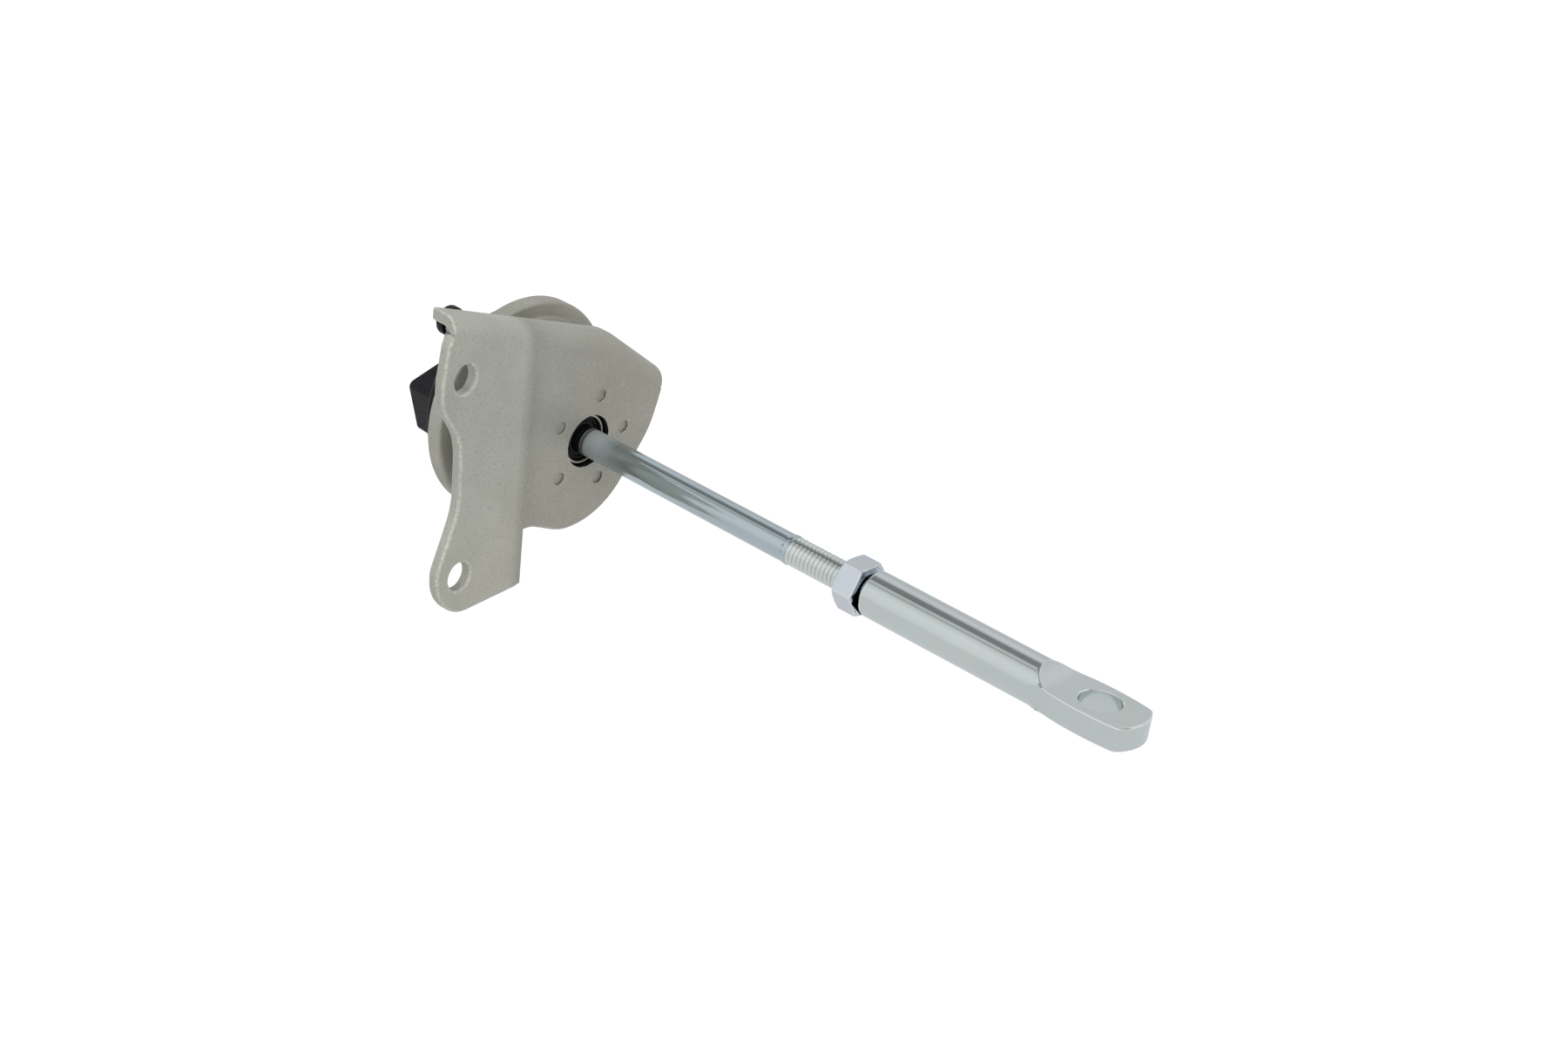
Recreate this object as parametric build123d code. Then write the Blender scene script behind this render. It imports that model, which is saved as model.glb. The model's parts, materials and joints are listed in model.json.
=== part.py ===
from build123d import *
import math
import os

# A vacuum wastegate actuator: a diaphragm can on a pressed bracket, with a push rod, a locknut
# and an adjuster sleeve that ends in an eye. Millimetres.
# The sketches use the rod's own frame: X runs along the rod towards the eye, Z points up,
# and X = 0 is the front face of the bracket's main plate.
# The stored frame is parallel to it, with its origin midway between the two bolt holes.

# Running gap for what turns or slides, and gap between fixed pieces
run_gap = 0.05
fixed_gap = 0.05

# Push rod and its thread
rod_d = 6.0
thread_start = 56.6
thread_root_r = 2.82
thread_collar_d = 6.5
thread_collar_w = 1.0
rod_tip_x = 102.0

# Locknut
nut_across_flats = 10.0
nut_thick = 5.0
nut_x = 71.5
nut_chamfer = 0.7

# Adjuster sleeve and its eye
sleeve_d = 9.5
sleeve_gap = 0.15
sleeve_chamfer = 1.3
sleeve_bore_end = 112.0
eye_x = 131.5
eye_hole_d = 8.2
eye_width = 12.1
eye_thick = 5.0
eye_tip_x = 141.3
tongue_start = 118.6
tongue_ramp = 4.6
tongue_spread = 9.0
tongue_swell = 0.9
tip_narrowing = 0.6
tip_corner_r = 1.6
tip_bulge = 2.0

# Bracket plate
plate_t = 2.6
bore_d = 11.5
weld_pcd = 20.0
weld_count = 5
weld_d = 2.8
weld_depth = 0.5
weld_first_angle = 76.8
bolt_spacing = 42.0
bolt_hole_d = 5.9
rod_from_bolts_y = 37.65
rod_below_bolts = 2.8
ear_offset = 2.9
ear_turn = 3.0
ear_lean = 4.0
ramp_angle = 52.0
fold_y = -17.55
fold_lean = 1.25
flange_depth = 6.1
flange_bend_r = 3.6
flange_end_z = 7.0
flange_reach = 2.25
strip_width = 4.6
strip_lap = 4.5
top_left = (-41.0, 37.15)
top_bend = (5.5, 22.25)
top_right = (22.65, 9.75)
top_bend_r = 12.0
corner_r = 4.0
plate_side = (18.4, -1.85)
plate_low = -19.2
plate_low_right_y = 6.25
plate_low_left_y = -5.5
plate_low_r = 17.5
plate_ear = (-14.0, -15.8)
ear_bottom = -26.7
ear_slope = 1.1
ear_right_y = -19.85
boss_margin = 6.25
boss_r = 8.5
boss_rise = 2.1
boss_drop = 4.8
waist = 5.5
waist_low_z = -3.6
waist_top_z = 11.0
waist_r = 18.0
shoulder = (-42.5, 31.6)
shoulder_top = 2.0
rim_r = 6.0
nick_r = 0.8
crotch_r = 2.0

# Diaphragm can
shell_t = 0.9
can_wall_d = 39.6
crimp_front_x = -19.2
crimp_width = 4.0
crimp_reach = 3.65
crimp_lip_rise = 0.6
shoulder_r = 9.0
crimp_r = 0.8
neck_d = 11.2
neck_front_x = -1.3

# Guide bush, seal and its garter ring
bush_flange_d = 15.0
bush_flange_w = 1.6
bush_rear_x = -9.7
seal_d = 8.2
seal_front_x = -2.4
seal_length = 1.9
garter_d = 7.2
garter_wire = 0.6
bush_front_x = -1.9

# Piston stack on the rod's shouldered end
spigot_d = 4.6
piston_front_x = -10.2
backing_t = 0.8
backing_inset = 1.5
backing_rim = 1.2
diaphragm_t = 0.7
cup_t = 0.8
roll_width = 3.3
cup_depth = 6.0
washer_t = 1.0
washer_d = 9.6
rivet_d = 7.0
rivet_t = 1.4

# Magnet and its holder
holder_gap = 0.2
holder_flange_t = 1.7
holder_post_d = 9.2
holder_length = 7.4
magnet_d = 5.6
magnet_length = 3.6

# Return spring and its seat
spring_from_seat_rim = 1.5
spring_wire = 1.8
spring_turns = 4.5
seat_t = 0.7
seat_gap = 0.6
seat_width = 4.0
seat_lip = 1.6

# Rear housing
housing_t = 1.8
lip_gap = 0.8
housing_step_x = -27.5
housing_back_x = -33.5
housing_back_step = 6.6
housing_back_wall = 0.4
housing_edge_r = 1.2
housing_lead = 0.3

# Hose nipple
nipple_y = 3.4
nipple_z = 8.4
nipple_tip_x = -48.7
nipple_d = 5.0
nipple_bead_d = 6.6
nipple_bead_w = 3.4
nipple_lead = 1.2
nipple_bore_d = 2.6
nipple_foot_d = 8.0
nipple_foot_w = 1.6

# Connector shroud, its insert, board, chip and blades
shroud_angle = 17.8
shroud_across = 18.0
shroud_high = 16.7
shroud_cut = (3.4, 4.9)
shroud_wall = 1.5
shroud_back_x = -45.0
shroud_foot_x = -28.9
shroud_centre = (2.1, -7.72)
shroud_corner_r = 1.4
insert_x = -37.2
insert_t = 1.8
board_t = 0.8
board_margin = 0.6
chip_across = 3.8
chip_high = 3.0
blade_count = 3
blade_pitch = 4.2
blade_w = 1.5
blade_t = 0.6
blade_length = 3.6
blade_tail = 0.9

# Sizes that follow from the ones above
plate_right = top_right[0]
space = 4 * bolt_spacing
rod_r = rod_d / 2
can_wall_r = can_wall_d / 2
can_r = can_wall_r + crimp_reach
shell_front_x = -plate_t
shell_inner_x = shell_front_x - shell_t
crimp_back_x = crimp_front_x - crimp_width
neck_r = neck_d / 2
bush_r = neck_r - shell_t - fixed_gap
diaphragm_front_x = piston_front_x - backing_t
cup_front_x = diaphragm_front_x - diaphragm_t
cup_back_x = cup_front_x - cup_t
washer_back_x = cup_back_x - washer_t
bead_x = crimp_front_x - shell_t - diaphragm_t / 2
housing_flange_x = crimp_front_x - shell_t - diaphragm_t
housing_flange_r = can_r - shell_t - fixed_gap
housing_flange_t = crimp_width - 2 * shell_t - diaphragm_t - fixed_gap
crimp_lip_r = can_wall_r + crimp_lip_rise
housing_r = crimp_lip_r - lip_gap
housing_back_r = housing_r - housing_back_step
chamber_r = housing_r - housing_t
cup_r = chamber_r - roll_width
backing_r = cup_r - backing_inset
seat_outer_r = housing_back_r - housing_back_wall - seat_gap
seat_inner_r = seat_outer_r - seat_width
spring_r = seat_outer_r - spring_from_seat_rim
holder_flange_r = spring_r - spring_wire - holder_gap
chamber_back_x = housing_back_x + housing_t
nut_back_x = nut_x + nut_thick
sleeve_x = nut_back_x + sleeve_gap


def turned(*points, radii=0):
    """Solid of revolution about the rod's axis from a closed outline of (x, radius) points."""
    return revolve(make_face(FilletPolyline(*points, radius=radii, close=True)), Axis.X)


def tube(outer_r, inner_r, x0, x1):
    """Plain ring between two planes across the rod."""
    return turned((x0, inner_r), (x1, inner_r), (x1, outer_r), (x0, outer_r))


def pressed(thickness, *points, radius=0.0):
    """Thin turned sheet whose mid-line runs through (x, radius) points."""
    return revolve(trace(FilletPolyline(*points, radius=radius), thickness), Axis.X)


def across(face, x0, x1):
    """Extrude a face drawn in the Y-Z plane from x0 to x1."""
    return Pos(x0, 0, 0) * extrude(face, amount=x1 - x0, dir=(1, 0, 0))


def outline(points, radii):
    """Face across the rod from a closed outline of (y, z) points."""
    return front_plane() * make_face(FilletPolyline(*points, radius=radii, close=True))


# Bracket

def front_plane():
    """Front face of the main plate; local x runs along Y and local y along Z."""
    return Plane(origin=(0, 0, 0), x_dir=(0, 1, 0), z_dir=(1, 0, 0))


def ear_frame():
    """Front face of the ear, centred between the two bolt holes; local y runs up."""
    normal = Vector(1, math.tan(math.radians(ear_turn)), math.tan(math.radians(ear_lean)))
    up = Vector(0, 0, 1) - normal * (normal.Z / normal.length ** 2)
    middle = (ear_offset, -rod_from_bolts_y, rod_below_bolts)
    return Plane(origin=middle, x_dir=up.cross(normal), z_dir=normal)


def ramp_plane():
    """Front face of the joggle that steps from the main plate forward to the ear."""
    slope = math.radians(ramp_angle)
    lean = math.radians(fold_lean)
    normal = Vector(math.cos(slope), math.sin(slope) * math.cos(lean), math.sin(slope) * math.sin(lean))
    return Plane(origin=(0, fold_y, 0), x_dir=(0, 0, 1), z_dir=normal)


def behind(plane, depth):
    """Everything behind a face, from the given depth backwards."""
    return plane * Pos(0, 0, -depth - space / 2) * Box(space, space, space)


def behind_fold(depth):
    """Everything behind the folded sheet: main plate, or both ramp and ear in front of it."""
    return behind(front_plane(), depth) + (behind(ear_frame(), depth) & behind(ramp_plane(), depth))


def bracket_rim():
    """Rim of the bracket as seen along the rod, clockwise from the top left corner."""
    boss_y = -rod_from_bolts_y - boss_margin
    waist_y = boss_y + waist
    bolt_up = rod_below_bolts + bolt_spacing / 2
    bolt_down = rod_below_bolts - bolt_spacing / 2
    side_y = plate_right - flange_reach
    rim = [
        (top_left, 0), (top_bend, top_bend_r), (top_right, corner_r), ((plate_right, flange_end_z), 0),
        ((side_y, flange_end_z), 0), ((side_y, flange_end_z - shoulder_top), rim_r), (plate_side, waist_r),
        ((plate_low_right_y, plate_low), plate_low_r), ((plate_low_left_y, plate_low), 2 * rim_r),
        (plate_ear, rim_r), ((ear_right_y, plate_ear[1]), crotch_r),
        ((ear_right_y, ear_bottom + ear_slope), 2 * nick_r),
        ((boss_y, ear_bottom), boss_r), ((boss_y, bolt_down + boss_rise), rim_r),
        ((waist_y, waist_low_z), waist_r), ((waist_y, waist_top_z), 2 * rim_r),
        ((boss_y, bolt_up - boss_drop), rim_r), ((boss_y, bolt_up), rim_r),
        (shoulder, rim_r / 2), ((top_left[0], shoulder[1] + shoulder_top), nick_r),
    ]
    return outline([point for point, radius in rim], [radius for point, radius in rim])


def top_edge(shift):
    """Two slopes of the top edge as functions of y, moved in by a distance, and where they meet."""
    slopes = [
        (top_bend[1] - top_left[1]) / (top_bend[0] - top_left[0]),
        (top_right[1] - top_bend[1]) / (top_right[0] - top_bend[0]),
    ]

    def line(slope):
        return lambda y: top_bend[1] + slope * (y - top_bend[0]) - shift * math.hypot(1, slope)

    left, right = line(slopes[0]), line(slopes[1])
    bend_y = (left(0) - right(0)) / (slopes[1] - slopes[0])
    return left, right, (bend_y, left(bend_y))


def main_band(shift, width):
    """Area along the main plate's top edge, from one distance inside it to another."""
    left, right, bend = top_edge(shift)
    low_left, low_right, low_bend = top_edge(width)
    start, end, low_end = fold_y - strip_lap, plate_right - shift, plate_right - width
    points = [
        (start, left(start)), bend, (end, right(end)), (end, flange_end_z), (low_end, flange_end_z),
        (low_end, low_right(low_end)), low_bend, (start, low_left(start)),
    ]
    return outline(points, [0, top_bend_r - shift, corner_r - shift, 0, 0, 0, 0, 0])


def ear_band(shift, width):
    """Area along the ear's top edge; the inner one runs out past the ear's side."""
    left = top_edge(shift)[0]
    low = top_edge(width)[0]
    start = top_left[0] - 2 * shift
    end = fold_y + strip_lap / 10
    return outline([(start, left(start)), (end, left(end)), (end, low(end)), (start, low(start))], 0)


def near_top(edge, shift):
    left, right, bend = top_edge(shift)
    point = edge.center()
    return point.Z > min(left(point.Y), right(point.Y)) - 1.2


def turned_back(band, plane):
    """Strip along a top edge: up the plate, round the bend and back to the flange's rim."""
    outer = across(band(0, strip_width), -flange_depth, space / 4) & behind(plane, 0)
    outer = fillet(front_edges(outer, plane, 0), flange_bend_r)
    inner = across(band(plate_t, strip_width + plate_t), -flange_depth - 1, space / 4)
    inner &= behind(plane, plate_t)
    inner = fillet(front_edges(inner, plane, plate_t), flange_bend_r - plate_t)
    return outer - inner


def front_edges(solid, plane, depth):
    return [
        edge for edge in solid.edges()
        if abs(plane.to_local_coords(edge.center()).Z + depth) < 0.05 and near_top(edge, depth)
    ]


def over_bend():
    """Area outside the start of the flange's bend, where the flat plate ends."""
    left, right, bend = top_edge(flange_bend_r)
    end = plate_right - flange_bend_r
    points = [
        (-space, left(-space)), bend, (end, right(end)), (end, flange_end_z), (space, flange_end_z),
        (space, space), (-space, space),
    ]
    corner = max(corner_r - flange_bend_r, 0)
    return outline(points, [0, top_bend_r - flange_bend_r, corner, 0, 0, 0, 0])


def make_bracket():
    """Folded plate with the turned-back top flange, bore, bolt holes and weld dimples."""
    sheet = behind_fold(0) - behind_fold(plate_t)
    body = across(bracket_rim(), -space / 4, space / 4) & sheet
    body -= across(over_bend(), -space / 4, space / 4)
    body += turned_back(main_band, front_plane())
    body += turned_back(ear_band, ear_frame())
    for side in (-1, 1):
        body -= ear_frame() * Pos(0, side * bolt_spacing / 2, 0) * Cylinder(bolt_hole_d / 2, space / 4)
    body -= tube(bore_d / 2, 0, -plate_t - 1, 1)
    for k in range(weld_count):
        turn = Rot(weld_first_angle - 360 / weld_count * k, 0, 0)
        body -= turn * Pos(0, weld_pcd / 2, 0) * tube(weld_d / 2, 0, -weld_depth, 1)
    return body


# Diaphragm can

def make_front_shell():
    wall_in = can_wall_r - shell_t
    rim_in = can_r - shell_t
    return turned(
        (neck_front_x, neck_r), (shell_front_x, neck_r), (shell_front_x, can_wall_r),
        (crimp_front_x, can_wall_r), (crimp_front_x, can_r), (crimp_back_x, can_r),
        (crimp_back_x, crimp_lip_r), (crimp_back_x + shell_t, crimp_lip_r),
        (crimp_back_x + shell_t, rim_in), (crimp_front_x - shell_t, rim_in),
        (crimp_front_x - shell_t, wall_in), (shell_inner_x, wall_in),
        (shell_inner_x, neck_r - shell_t), (neck_front_x, neck_r - shell_t),
        radii=[0.2, 0, shoulder_r, 0.6, crimp_r, crimp_r, 0, 0, 0, 0, 0, shoulder_r - shell_t, 0, 0.2],
    )


def make_guide_bush():
    flange_back = shell_inner_x - fixed_gap - bush_flange_w
    return turned(
        (bush_front_x, seal_d / 2 + fixed_gap), (bush_front_x, bush_r),
        (shell_inner_x - fixed_gap, bush_r), (shell_inner_x - fixed_gap, bush_flange_d / 2),
        (flange_back, bush_flange_d / 2), (flange_back, bush_r), (bush_rear_x, bush_r),
        (bush_rear_x, rod_r + run_gap), (seal_front_x - seal_length, rod_r + run_gap),
        (seal_front_x - seal_length, seal_d / 2 + fixed_gap),
        radii=[0, 0.3, 0, 0.3, 0.3, 0, 0.4, 0.2, 0, 0],
    )


def make_rod_seal():
    """Lip seal: a rubber ring with a groove behind its lip."""
    back = seal_front_x - seal_length
    inner = rod_r + run_gap
    groove = 0.35 * seal_length
    return turned(
        (seal_front_x, inner), (seal_front_x, seal_d / 2), (back, seal_d / 2),
        (back, inner + 0.7), (back + groove, inner + 0.5), (back + groove, inner + 0.25), (back, inner),
    )


def make_garter_ring():
    path_r = garter_d / 2 - garter_wire / 2
    return turned_ring(path_r, garter_wire / 2, seal_front_x + garter_wire / 2)


def turned_ring(path_r, wire_r, x):
    """Ring of round wire about the rod."""
    return revolve(make_face(Pos(x, path_r) * CenterArc((0, 0), wire_r, 0, 360)), Axis.X)


# Rod, nut and adjuster

def make_rod():
    spigot_r = spigot_d / 2
    collar_r = thread_collar_d / 2
    head_x = washer_back_x - rivet_t
    collar_end = thread_start + thread_collar_w
    return turned(
        (head_x, 0), (head_x, rivet_d / 2), (washer_back_x, rivet_d / 2), (washer_back_x, spigot_r),
        (piston_front_x, spigot_r), (piston_front_x, rod_r), (thread_start, rod_r),
        (thread_start, collar_r - 0.12), (collar_end, collar_r - 0.12), (collar_end, thread_root_r),
        (rod_tip_x, thread_root_r), (rod_tip_x, 0),
        radii=[0, 0.9, 0, 0, 0, 0.2, 0, 0.1, 0.1, 0, 0.8, 0],
    )


def make_locknut():
    """Hexagon nut, chamfered at both ends by a double cone."""
    corner_r = nut_across_flats / math.sqrt(3)
    hexagon = across(front_plane() * RegularPolygon(corner_r, 6), nut_x, nut_back_x)
    drop = nut_chamfer * math.tan(math.radians(30))
    cone = turned(
        (nut_x, 0), (nut_x, corner_r - nut_chamfer), (nut_x + drop, corner_r),
        (nut_back_x - drop, corner_r), (nut_back_x, corner_r - nut_chamfer), (nut_back_x, 0),
    )
    bore_r = thread_root_r + run_gap
    bore = tube(bore_r, 0, nut_x - 1, nut_back_x + 1)
    mouths = [
        turned((x, 0), (x, bore_r + 0.5), (x + side * 0.5, bore_r), (x + side * 0.5, 0))
        for x, side in ((nut_x, 1), (nut_back_x, -1))
    ]
    return hexagon & cone - bore - mouths[0] - mouths[1]


def tongue_plan():
    """Outline of the flattened end seen from above: it spreads, then narrows to a blunt tip."""
    sleeve_r = sleeve_d / 2
    half = eye_width / 2
    tip_half = half - tip_narrowing
    wide_x = tongue_start + tongue_spread
    shoulder_x = eye_tip_x - tip_bulge
    side = Spline(
        (tongue_start - 1, sleeve_r),
        (tongue_start + 0.55 * tongue_spread, sleeve_r + 0.6 * (half - sleeve_r)),
        (wide_x + 2, half), (shoulder_x, tip_half), tangents=[(1, 0), (1, -0.16)],
    )
    mirrored = mirror(side, Plane.XZ)
    tip = ThreePointArc((shoulder_x, tip_half), (eye_tip_x, 0), (shoulder_x, -tip_half))
    base = Line((tongue_start - 1, sleeve_r), (tongue_start - 1, -sleeve_r))
    face = make_face([side, tip, mirrored, base])
    corners = [v for v in face.vertices() if v.X > shoulder_x - 0.1]
    return fillet(corners, tip_corner_r)


def tongue_side():
    """Outline seen from the side: hollow ramps run down from the round sleeve to the flat."""
    sleeve_r = sleeve_d / 2
    half = eye_thick / 2
    flat_x = tongue_start + tongue_ramp
    upper = ThreePointArc(
        (tongue_start, sleeve_r),
        (tongue_start + 0.42 * tongue_ramp, half + 0.30 * (sleeve_r - half)),
        (flat_x, half),
    )
    flat = Line((flat_x, half), (eye_tip_x + 1, half))
    end = Line((eye_tip_x + 1, half), (eye_tip_x + 1, -half))
    start_up = Line((tongue_start - 1, 0), (tongue_start - 1, sleeve_r))
    shelf = Line((tongue_start - 1, sleeve_r), (tongue_start, sleeve_r))
    top = [start_up, shelf, upper, flat]
    bottom = [mirror(edge, Plane.XZ) for edge in top]
    return make_face([*top, end, *bottom])


def make_adjuster():
    """Sleeve with a blind threaded bore, and the end pressed flat and pierced as the eye."""
    sleeve_r = sleeve_d / 2
    bore_r = thread_root_r + run_gap
    shank = turned(
        (sleeve_x, 0), (sleeve_x, sleeve_r - sleeve_chamfer), (sleeve_x + sleeve_chamfer, sleeve_r),
        (tongue_start, sleeve_r), (tongue_start, 0),
    )
    plan = extrude(tongue_plan(), amount=sleeve_d, both=True)
    profile = extrude(Plane.XZ * tongue_side(), amount=eye_width, both=True)
    swell_x = tongue_start + tongue_ramp
    swell = turned(
        (tongue_start - 1, 0), (tongue_start - 1, sleeve_r), (tongue_start, sleeve_r),
        (swell_x, math.hypot(sleeve_r + tongue_swell, eye_thick / 2)),
        (swell_x + eye_thick / 2, eye_width),
        (eye_tip_x + 1, eye_width), (eye_tip_x + 1, 0),
    )
    tongue = plan & profile & swell
    body = shank + tongue
    body -= Pos(eye_x, 0, 0) * Cylinder(eye_hole_d / 2, sleeve_d)
    return body - tube(bore_r, 0, sleeve_x - 1, sleeve_bore_end)


# Piston stack

def make_diaphragm():
    """Rolling rubber diaphragm: flat on the piston, back along the cup, out to the clamped rim."""
    mid_x = diaphragm_front_x - diaphragm_t / 2
    wall_r = cup_r + diaphragm_t / 2 + fixed_gap
    inner_r = spigot_d / 2 + fixed_gap
    roll_x = bead_x - 1.6
    outer_r = chamber_r - diaphragm_t / 2 - fixed_gap
    return pressed(
        diaphragm_t, (mid_x, inner_r), (mid_x, wall_r), (roll_x, wall_r), (roll_x, outer_r),
        (bead_x, outer_r), (bead_x, housing_flange_r), radius=[1.0, 1.1, 1.1, 0.5],
    )


def make_backing_plate():
    mid_x = piston_front_x - backing_t / 2
    inner_r = spigot_d / 2 + fixed_gap
    return pressed(
        backing_t, (mid_x, inner_r), (mid_x, backing_r - backing_rim), (mid_x + backing_rim, backing_r),
        radius=1.5,
    )


def make_piston_cup():
    mid_x = cup_front_x - cup_t / 2
    inner_r = spigot_d / 2 + fixed_gap
    wall_r = cup_r - cup_t / 2
    return pressed(cup_t, (mid_x, inner_r), (mid_x, wall_r), (cup_front_x - cup_depth, wall_r), radius=1.2)


def make_rod_washer():
    return tube(washer_d / 2, spigot_d / 2 + fixed_gap, washer_back_x, cup_back_x)


def make_magnet_holder():
    """Plastic post over the rivet head, with a foot on the cup and a pocket for the magnet."""
    post_back = cup_back_x - holder_length
    pocket_front = post_back + magnet_length + fixed_gap
    foot_back = cup_back_x - holder_flange_t
    rivet_back = washer_back_x - rivet_t
    pocket_r = washer_d / 2 + 0.1
    foot_edge_r = min(0.4, (holder_flange_r - pocket_r) / 2)
    return turned(
        (cup_back_x, pocket_r), (cup_back_x, holder_flange_r),
        (foot_back, holder_flange_r), (foot_back, holder_post_d / 2),
        (post_back, holder_post_d / 2), (post_back, magnet_d / 2 + fixed_gap),
        (pocket_front, magnet_d / 2 + fixed_gap), (pocket_front, 0),
        (rivet_back - 0.1, 0), (rivet_back - 0.1, rivet_d / 2 + 0.1),
        (washer_back_x - 0.1, rivet_d / 2 + 0.1), (washer_back_x - 0.1, pocket_r),
        radii=[0, foot_edge_r, foot_edge_r, 0, 0.4, 0, 0, 0, 0, 0, 0, 0],
    )


def make_magnet():
    post_back = cup_back_x - holder_length
    return tube(magnet_d / 2, 0, post_back, post_back + magnet_length)


def make_return_spring():
    """Coil spring between the cup's floor and its seat on the rear housing."""
    wire_r = spring_wire / 2
    front = cup_back_x - wire_r - fixed_gap
    back = chamber_back_x + seat_t + wire_r + fixed_gap
    length = front - back
    coil = Helix(pitch=length / spring_turns, height=length, radius=spring_r - wire_r)
    wire = sweep(Plane(origin=coil @ 0, z_dir=coil % 0) * Circle(wire_r), path=coil)
    return Pos(back, 0, 0) * Rot(0, 90, 0) * wire


def make_spring_seat():
    mid_x = chamber_back_x + seat_t / 2
    return pressed(
        seat_t, (mid_x + seat_lip, seat_inner_r), (mid_x, seat_inner_r), (mid_x, seat_outer_r),
        radius=0.5,
    )


# Rear housing

def shroud_place():
    """Frame of the connector: centred on the shroud, turned with it about the rod's direction."""
    return Pos(0, *shroud_centre) * Rot(shroud_angle, 0, 0)


def shroud_face(inset):
    """Keyed outline of the connector, its two lower corners cut off, moved in by a distance."""
    half = shroud_across / 2 - inset
    top = shroud_high / 2 - inset
    side, rise = shroud_cut
    slant = math.hypot(side, rise)
    side_in = side - inset * (1 - (slant - side) / rise)
    rise_in = rise - inset * (1 - (slant - rise) / side)
    points = [
        (-half, top), (half, top), (half, rise_in - top), (half - side_in, -top),
        (side_in - half, -top), (-half, rise_in - top),
    ]
    return outline(points, max(shroud_corner_r - inset, 0.3))


def make_rear_housing():
    """Moulded dome over the spring, with the connector's block and the hose nipple at its back."""
    flange_back = housing_flange_x - housing_flange_t
    body = turned(
        (housing_flange_x, 0), (housing_flange_x, housing_flange_r), (flange_back, housing_flange_r),
        (flange_back, housing_r), (housing_step_x, housing_r), (housing_back_x, housing_back_r),
        (housing_back_x, 0), radii=[0, 0, 0, 0.3, housing_edge_r, housing_edge_r, 0],
    )
    body += shroud_place() * across(shroud_face(0), shroud_back_x, shroud_foot_x)
    body += Pos(0, nipple_y, nipple_z) * make_nipple()
    body -= make_chamber()
    body -= shroud_place() * across(shroud_face(shroud_wall), shroud_back_x - 1, housing_back_x)
    duct = tube(nipple_bore_d / 2, 0, nipple_tip_x - 1, chamber_back_x + 1)
    return body - Pos(0, nipple_y, nipple_z) * duct


def make_chamber():
    """Room for the spring inside the dome."""
    back_r = housing_back_r - housing_back_wall
    return turned(
        (housing_flange_x + 1, 0), (housing_flange_x + 1, chamber_r + housing_lead + 1),
        (housing_flange_x - housing_lead, chamber_r), (housing_step_x + 0.4, chamber_r),
        (chamber_back_x, back_r), (chamber_back_x, 0), radii=[0, 0, 0, 1.0, 0.6, 0],
    )


def make_nipple():
    """Round hose nipple with a bead at its tip and a foot on the housing."""
    bead_front = nipple_tip_x + nipple_bead_w
    foot_back = housing_back_x - nipple_foot_w
    return turned(
        (nipple_tip_x, 0), (nipple_tip_x, nipple_d / 2 - 0.2), (nipple_tip_x + nipple_lead, nipple_bead_d / 2),
        (bead_front - 0.5, nipple_bead_d / 2), (bead_front, nipple_d / 2), (foot_back, nipple_d / 2),
        (foot_back, nipple_foot_d / 2), (housing_back_x + 0.5, nipple_foot_d / 2),
        (housing_back_x + 0.5, 0),
        radii=[0, 0, 0.5, 0.3, 0, 0, 0.4, 0, 0],
    )


def make_terminal_insert():
    plate = across(shroud_face(shroud_wall + fixed_gap), insert_x, insert_x + insert_t)
    for y in blade_places():
        plate -= Pos(insert_x + insert_t / 2, y, 0) * Box(insert_t * 2, blade_w + 0.04, blade_t + 0.04)
    return shroud_place() * plate


def blade_places():
    middle = (blade_count - 1) / 2
    return [(k - middle) * blade_pitch for k in range(blade_count)]


def make_terminal_blades():
    """Flat contact blades, tapered at their tips, as one group."""
    back = insert_x - blade_length
    front = insert_x + insert_t + blade_tail
    length = front - back
    blades = []
    for y in blade_places():
        blade = Pos((front + back) / 2, y, 0) * Box(length, blade_w, blade_t)
        tip = [e for e in blade.edges() if abs(e.center().X - back) < 0.01]
        blades.append(chamfer(tip, 0.2))
    return shroud_place() * Compound(children=blades)


def make_circuit_board():
    board_x = insert_x + insert_t
    board = across(shroud_face(shroud_wall + board_margin), board_x, board_x + board_t)
    for y in blade_places():
        board -= Pos(board_x, y, 0) * Box(board_t * 3, blade_w + 0.1, blade_t + 0.1)
    return shroud_place() * board


def make_sensor_chip():
    board_front = insert_x + insert_t + board_t
    room = housing_back_x - board_front
    thick = room - 0.3
    chip_z = shroud_high / 2 - shroud_wall - chip_high / 2 - board_t
    place = Pos(board_front + thick / 2, -blade_pitch / 2, chip_z)
    return shroud_place() * place * Box(thick, chip_across, chip_high)


pieces = {
    "bracket": make_bracket,
    "front_shell": make_front_shell,
    "guide_bush": make_guide_bush,
    "rod_seal": make_rod_seal,
    "garter_ring": make_garter_ring,
    "rod": make_rod,
    "locknut": make_locknut,
    "adjuster_sleeve": make_adjuster,
    "diaphragm": make_diaphragm,
    "backing_plate": make_backing_plate,
    "piston_cup": make_piston_cup,
    "rod_washer": make_rod_washer,
    "magnet_holder": make_magnet_holder,
    "magnet": make_magnet,
    "return_spring": make_return_spring,
    "spring_seat": make_spring_seat,
    "rear_housing": make_rear_housing,
    "terminal_insert": make_terminal_insert,
    "terminal_blades": make_terminal_blades,
    "circuit_board": make_circuit_board,
    "sensor_chip": make_sensor_chip,
}

os.makedirs("parts", exist_ok=True)
for name, make in pieces.items():
    placed = Pos(-ear_offset, rod_from_bolts_y, -rod_below_bolts) * make()
    export_step(placed, f"parts/{name}.step")
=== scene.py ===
import bpy
import bmesh
import json
import math
from mathutils import Matrix, Vector
from mathutils.bvhtree import BVHTree


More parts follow.
